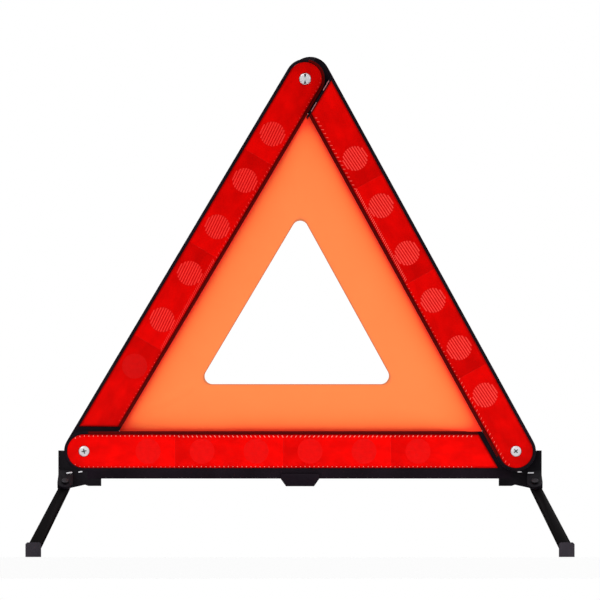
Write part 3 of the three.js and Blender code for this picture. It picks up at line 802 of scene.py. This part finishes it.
def puckers(x, z, across):
    """The cloth's small waves, in metres to the front: none at the arms, most towards the window."""
    slow = noise.noise(Vector((x * 11, z * 11, 3.1)))
    fine = noise.noise(Vector((x * 34, z * 34, 7.7)))
    # A crease runs from the window's lower left corner towards the triangle's lower left corner.
    low_left = crossing(window_lines["base"], window_lines["left"])
    along = Vector((-math.cos(THIRTY), -math.sin(THIRTY)))
    offset = Vector((x, z)) - low_left
    beside = offset.x * along.y - offset.y * along.x
    ahead = offset.dot(along)
    ends = ease(ahead / (8 * MM)) * ease((70 * MM - ahead) / (30 * MM))
    crease = math.exp(-((beside / (3.5 * MM)) ** 2)) * ends * ease(across * 4)
    return ease(across * 2.5) * (1.0 * MM * slow + 0.35 * MM * fine) - 0.8 * MM * crease


def out_of_arm_shade(place):
    """How far a point of the cloth is from the red arms, from about 0.05 in a corner to 1; the cloth is painted
    with shade and red reflection where it is low.
    """
    value = 1.0
    for arm in ARMS:
        origin, direction = outer_lines[arm]
        offset = place - origin
        distance = direction.x * offset.y - direction.y * offset.x
        value *= 1 - 0.78 * math.exp(-max(distance, 0) / (9 * MM))
    return value


def grooved_place(arm, edge, outward, end_share, row):
    """A point of the rows that are hidden in the arm's groove, or that close the gap beside the arm."""
    tuck = TUCK * ease((end_share - TUCK_START) / TUCK_RISE)
    middle = own_depth(arm, edge.y) - CLOTH_LEVEL
    behind = CLOTH_LEVEL + WINDOW_SLOPE * edge.x < middle - 4.2 * MM and end_share < 0.05
    closing = 2.4 * MM if behind else 0.5 * MM
    return edge + outward * max(tuck, closing) * (TUCK_ROWS - row) / TUCK_ROWS


def closed_sheet(along_steps, across_steps):
    """The faces of a thin closed sheet whose front vertices come first, row by row, and then its back ones."""
    row = across_steps + 1
    count = (along_steps + 1) * row
    faces = []
    for i in range(along_steps):
        for j in range(across_steps):
            a, b = i * row + j, (i + 1) * row + j
            faces.append((a, b, b + 1, a + 1))
            faces.append((count + a, count + a + 1, count + b + 1, count + b))
    rim = [i * row for i in range(along_steps + 1)]
    rim += [along_steps * row + j for j in range(1, row)]
    rim += [i * row + across_steps for i in range(along_steps - 1, -1, -1)]
    rim += [j for j in range(across_steps - 1, 0, -1)]
    for a, b in zip(rim, rim[1:] + rim[:1]):
        faces.append((b, a, count + a, count + b))
    return faces


def cloth_band(arm, along_steps=150, across_steps=26):
    """One band of the screen, from its arm's groove to the hem round the window."""
    before, after = NEIGHBOURS[arm]
    outer = [crossing(outer_lines[arm], outer_lines[other]) for other in (before, after)]
    inner = [crossing(window_lines[arm], window_lines[other]) for other in (before, after)]
    outward = -Vector((-outer_lines[arm][1].y, outer_lines[arm][1].x))
    front, back, arm_shade_values, edges = [], [], [], []
    for i in range(along_steps + 1):
        share = i / along_steps * (1 + 2 * LAP_SHARE) - LAP_SHARE
        end_share = min(share, 1 - share)
        ends = ease(end_share / LEVEL_REACHED)
        edge = outer[0].lerp(outer[1], share)
        lip = window_edge(*inner, share)
        for j in range(across_steps + 1):
            across = max(0.0, (j - TUCK_ROWS) / (across_steps - TUCK_ROWS))
            if j < TUCK_ROWS:
                place = grooved_place(arm, edge, outward, end_share, j)
            else:
                place = edge.lerp(lip, across)
            shared = CLOTH_LEVEL + WINDOW_SLOPE * place.x
            own = own_depth(arm, place.y)
            weight = (1 - ease(across)) * ends
            depth = shared + (own - shared) * weight + puckers(place.x, place.y, across)
            hemmed = ease((HEM_WIDTH - (lip - place).length) / (0.6 * MM) + 0.5)
            front.append((place.x, -depth - CLOTH_THICKNESS / 2, place.y))
            back.append((place.x, -depth + CLOTH_THICKNESS / 2 + hemmed * HEM_THICKNESS, place.y))
            arm_shade_values.append(out_of_arm_shade(place))
            edges.append(1.0 if j == across_steps else 0.0)
    faces = closed_sheet(along_steps, across_steps)
    piece = piece_from(f"{arm}_cloth_band", front + back, faces, [CLOTH], smooth=True)
    add_attribute(piece, "out_of_arm_shade", arm_shade_values + arm_shade_values)
    add_attribute(piece, "edge", edges + edges)
    bm = bmesh.new()
    bm.from_mesh(piece.data)
    bmesh.ops.recalc_face_normals(bm, faces=bm.faces)
    area = sum(face.calc_area() for face in bm.faces) / 2
    bm.to_mesh(piece.data)
    bm.free()
    finish_piece(piece, ARM_BODY[arm], "cloth", f"{arm}_cloth")
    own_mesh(piece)


# ---------------------------------------------------------------- screws, stud and small steel
DOME_STEPS = 7


def cut_by(piece, tools):
    """The piece with the tools' shapes cut out of it."""
    for tool in tools:
        cutter = piece.modifiers.new("cut", "BOOLEAN")
        cutter.object = tool
        cutter.operation = "DIFFERENCE"
        cutter.solver = "EXACT"
        cutter.material_mode = "TRANSFER"
    bpy.context.view_layer.update()
    evaluated = piece.evaluated_get(bpy.context.evaluated_depsgraph_get())
    mesh = bpy.data.meshes.new_from_object(evaluated)
    piece.modifiers.clear()
    piece.data = mesh
    for tool in tools:
        bpy.data.objects.remove(tool)


def domed_head(name, radius, shank_end):
    """A domed head on its shank, turned about the hole of a lens."""
    rim = LENS_BACK + 1.0 * MM
    profile = [(0, shank_end), (SHANK_RADIUS, shank_end), (SHANK_RADIUS, LENS_BACK)]
    profile += [(radius, LENS_BACK), (radius, rim)]
    for i in range(1, DOME_STEPS):
        turn = math.pi / 2 * i / DOME_STEPS
        profile.append((radius * math.cos(turn), rim + (HEAD_TOP - rim) * math.sin(turn)))
    build = Build()
    build.turned([*profile, (0, HEAD_TOP)])
    return build.piece(name, [CHROME], smooth=True)


def screw_head(name, arm, node):
    """A domed cross-recess head on its shank."""
    head = domed_head(name, SCREW_HEAD_RADIUS, -11 * MM)
    cross = []
    for turn in (math.radians(12), math.radians(102)):
        tool = Build()
        c, s = math.cos(turn), math.sin(turn)
        long, wide = 2.3 * MM, 0.5 * MM
        corners = [(-long, -wide), (long, -wide), (long, wide), (-long, wide)]
        outline = [(x * c - y * s, x * s + y * c) for x, y in corners]
        tool.prism(outline, LENS_FACE - 1.1 * MM, LENS_FACE + 2 * MM)
        # The cutters' dark steel passes to the cut faces, as painted shade in the cross recess.
        cross.append(tool.piece(f"{name}_cross", [DARK_STEEL_AND_RECESS_SHADE]))
    cut_by(head, cross)
    head.matrix_world = ARM_FRAME[arm]
    finish_piece(head, "base", "steel", node)


def snap_stud():
    """The top corner's snap stud: a domed cap with a notch at the top and one at the bottom."""
    stud = domed_head("top_stud", STUD_HEAD_RADIUS, -3.2 * MM)
    turn = LEFT_ANGLE + math.pi  # of the arm's own frame
    notches = []
    for side in (-1, 1):
        up = Vector((math.sin(turn), math.cos(turn))) * side
        aside = Vector((math.cos(turn), -math.sin(turn))) * side
        wedge = [up * 1.3 + aside * 0.2, up * 4.5 + aside * 1.2, up * 4.5 - aside * 1.2, up * 1.3 - aside * 0.2]
        tool = Build()
        tool.prism([tuple(corner * MM) for corner in wedge], LENS_FACE - 0.9 * MM, LENS_FACE + 2 * MM)
        # The cutters' dark steel passes to the cut faces, as painted shade in the notches.
        notches.append(tool.piece("stud_notch", [DARK_STEEL_AND_RECESS_SHADE]))
    cut_by(stud, notches)
    stud.matrix_world = ARM_FRAME["left"]
    finish_piece(stud, "left_arm", "steel", "top_snap_stud")


def steel_pin(name, centre, tilt, length, radius):
    """A short bright pin lying in a bracket's face."""
    build = Build()
    half, tip = length / 2, radius / 2
    profile = [(0, -half), (tip, -half), (radius, tip - half), (radius, half - tip), (tip, half), (0, half)]
    build.turned(profile, 20)
    piece = build.piece(name, [CHROME], smooth=True)
    turn = Matrix.Rotation(tilt, 4, "Y") @ Matrix.Rotation(math.pi / 2, 4, "Y")
    piece.matrix_world = Matrix.Translation(centre) @ turn
    finish_piece(piece, "base", "steel")


LEG_PIVOT_DEPTH = 12 * MM
LEG_PIVOT_HEIGHT = 65 * MM
LUG_FACE = 6 * MM  # the lug's upper face, from the leg's pivot along its pin
BRACKET_FACE = 3.3 * MM


def bracket_pins():
    """Two short bright pins in each bracket: one across the front lug and one beside it."""
    axis = Vector(joints["left_front_leg_fold"]["axis"])
    lug_pin_height = 77.9 * MM
    lug_depth = LEG_PIVOT_DEPTH - ((lug_pin_height - LEG_PIVOT_HEIGHT) * axis.z - LUG_FACE) / -axis.y
    # Distance from the middle, height, length, radius and depth of each pin.
    pins = (
        (213.7 * MM, lug_pin_height, 5.6 * MM, 0.75 * MM, lug_depth + 0.3 * MM),
        (203.4 * MM, 78.9 * MM, 3.8 * MM, 0.6 * MM, BRACKET_FACE + 0.15 * MM),
    )
    for side, sign, tilt in (("left", -1, math.radians(-9)), ("right", 1, 0.0)):
        for number, (aside, height, length, radius, depth) in enumerate(pins, 1):
            centre = Vector((sign * aside, -depth, height))
            steel_pin(f"{side}_bracket_pin_{number}", centre, tilt, length, radius)


def closed_bracket(side):
    """A bracket as its CAD shape, with the running gap to the arm that it is fixed to closed."""
    mesh = frame["nodes"][f"{side}_bracket"].data.copy()
    mesh.materials.clear()
    mesh.materials.append(BRACKET_BLACK)
    pivot = left_pivot if side == "left" else right_pivot
    sign = -1 if side == "left" else 1
    moved = GAP + 0.1 * MM  # a little more than the gap, for the flats of the CAD's round parts
    near = 0.03 * MM
    lip_start, lip_bottom = abs(pivot.x) - LIP_START, PIVOT_HEIGHT - LIP_BOTTOM
    for vertex in mesh.vertices:
        place = vertex.co
        offset = Vector((place.x - pivot.x, place.z - PIVOT_HEIGHT))
        beside_lip = abs(abs(place.x) - lip_start) < near
        below_lip = abs(place.z - lip_bottom) < near
        if abs(offset.length - ARM_HALF_WIDTH - GAP) < near:
            offset *= 1 - moved / offset.length
            place.x, place.z = pivot.x + offset.x, PIVOT_HEIGHT + offset.y
        if beside_lip:
            place.x = sign * (lip_start - moved)
        if below_lip:
            place.z = lip_bottom + moved
    piece = bpy.data.objects.new(f"{side}_corner_bracket", mesh)
    bpy.context.scene.collection.objects.link(piece)
    finish_piece(soften(piece, 0.1 * MM), "base", "frame", f"{side}_bracket")


# Start, end and distance from the left arm's axis.
TONGUE_RIBS = ((-10 * MM, 0.3 * MM, 19.8 * MM), (13.2 * MM, 22.7 * MM, 20.2 * MM))


def tongue_ribs():
    """Two slim ribs in the slot between the side arms, on the tongue's wall, in a pale pink that paints
    highlights on them.
    """
    level = LAYER_STEP + ARM_FACE - 1.0 * MM
    for number, (start, end, aside) in enumerate(TONGUE_RIBS, 1):
        build = Build()
        build.ridge(((start + end) / 2, aside), 0, end - start, 1.0 * MM, 0.6 * MM, level, 0)
        piece = build.piece(f"tongue_rib_{number}", [RIB_HIGHLIGHT])
        piece.matrix_world = ARM_FRAME["left"]
        finish_piece(piece, "right_arm", "frame")
        squash_tongue(piece)


def squash_tongue(piece):
    """Gives the piece a mesh of its own."""
    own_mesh(piece)


def tongue():
    """The right arm's tongue, as a copy of its CAD shape with its sharp edges rounded."""
    mesh = frame["nodes"]["right_arm_tongue"].data.copy()
    mesh.materials.clear()
    mesh.materials.append(BLACK)
    piece = bpy.data.objects.new("tongue", mesh)
    bpy.context.scene.collection.objects.link(piece)
    bm = bmesh.new()
    bm.from_mesh(mesh)
    bmesh.ops.remove_doubles(bm, verts=bm.verts, dist=WELD_DISTANCE)
    bmesh.ops.dissolve_limit(bm, angle_limit=FLAT_ANGLE, verts=bm.verts, edges=bm.edges)
    sharp = [edge for edge in bm.edges if len(edge.link_faces) == 2 and edge.calc_face_angle() > ROUNDED_ANGLE]
    bmesh.ops.bevel(bm, geom=sharp, offset=0.25 * MM, segments=2, affect="EDGES", clamp_overlap=True)
    bm.to_mesh(mesh)
    bm.free()
    finish_piece(piece, "right_arm", "frame", "right_arm_tongue")
    squash_tongue(piece)


# ---------------------------------------------------------------- the whole object
camera()
lights()
surroundings()
floor()

reflector_piece("base", SCREW_HEAD_RADIUS + GAP)
reflector_piece("right", SCREW_HEAD_RADIUS + GAP)
reflector_piece("left", STUD_HEAD_RADIUS + GAP)
for arm in ARMS:
    lens_flange(arm)
    cloth_band(arm)
screw_head("left_screw", "base", "left_pivot_screw")
screw_head("right_screw", "right", "right_pivot_screw")
snap_stud()
tongue()
tongue_ribs()
bracket_pins()

for arm in ARMS:
    for node in (f"{arm}_arm_frame", f"{arm}_cloth_strip"):
        softened(node)
        paint(node, BLACK)
paint(softened("middle_clip").name, BLACK)
for side in ("left", "right"):
    closed_bracket(side)
    paint(softened(f"{side}_pivot_nut", 0.25 * MM).name, CHROME)
    for end in ("front", "rear"):
        paint(softened(f"{side}_{end}_leg", 0.6 * MM).name, LEG_BLACK)
        paint(softened(f"{side}_{end}_foot_pad", 0.45 * MM).name, PAD_RUBBER)
        paint(softened(f"{side}_{end}_leg_pin", 0.2 * MM).name, DARK_STEEL_AND_RECESS_SHADE)
